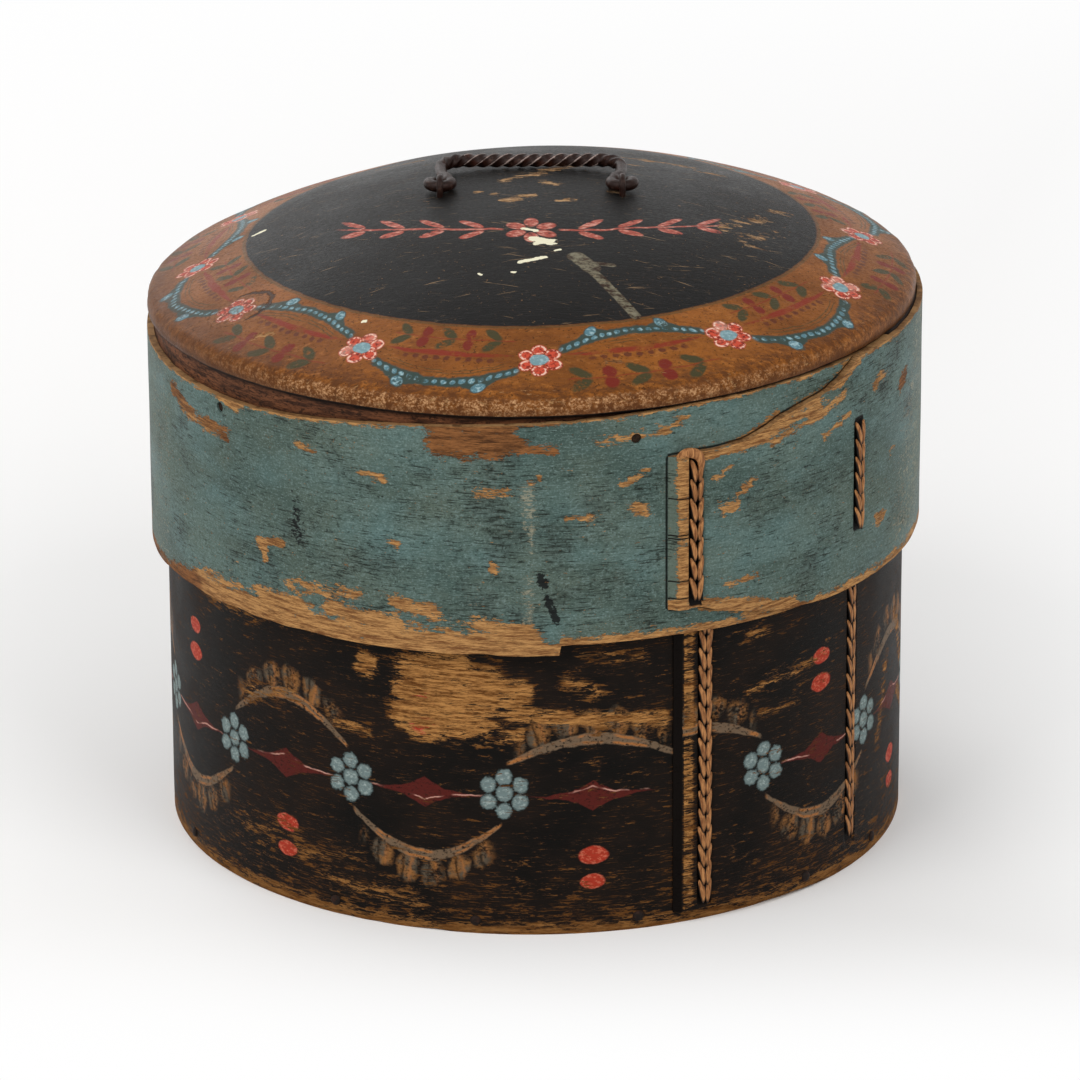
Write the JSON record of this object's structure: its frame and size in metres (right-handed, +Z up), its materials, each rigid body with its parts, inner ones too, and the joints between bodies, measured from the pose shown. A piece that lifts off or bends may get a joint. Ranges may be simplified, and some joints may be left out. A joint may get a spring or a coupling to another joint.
{
  "type": "bentwood box",
  "caption": "Round bentwood box of lapped and root-sewn strips, with a deep domed lift-off lid, painted folk ornament and a twisted iron bail handle.",
  "frame": {"origin": "centre of the underside of the bottom board, on the surface that the box stands on", "axes": "+Z up; the front, with both lap seams at its right, faces -Y; the handle's hinge line runs along X"},
  "size_m": [0.3336, 0.3328, 0.2851],
  "materials": {
    "bare_wood": "bare aged softwood",
    "black_painted_wood": "worn black paint with flowers and garlands",
    "blue_painted_wood": "worn blue-green paint over bent strip",
    "ochre_painted_wood": "black middle and ochre border with flowers and garlands",
    "split_root": "split root, dry and slightly polished",
    "peg_wood": "dark end grain",
    "wrought_iron": "dark brown wrought iron",
    "rusty_iron": "rusted iron"
  },
  "bodies": {
    "box": {"bottom_board": "bare_wood", "body_band": "black_painted_wood", "body_front_lacing": "split_root", "body_side_lacing": "split_root", "bottom_nails": "rusty_iron"},
    "lid": {"lid_band": "blue_painted_wood", "lid_front_lacing": "split_root", "lid_side_lacing": "split_root", "lid_pegs": "peg_wood", "lid_board": "ochre_painted_wood", "left_staple": "wrought_iron", "right_staple": "wrought_iron"},
    "bail": {"handle": "wrought_iron"}
  },
  "joints": [
    {"name": "lid_lift", "type": "slide", "parent": "box", "child": "lid", "axis": [0, 0, 1], "range_m": [0, 0.3]},
    {"name": "handle_swing", "type": "hinge", "parent": "lid", "child": "bail", "pos_m": [0, 0, 0.2795], "axis": [1, 0, 0], "range_deg": [0, 180]}
  ]
}
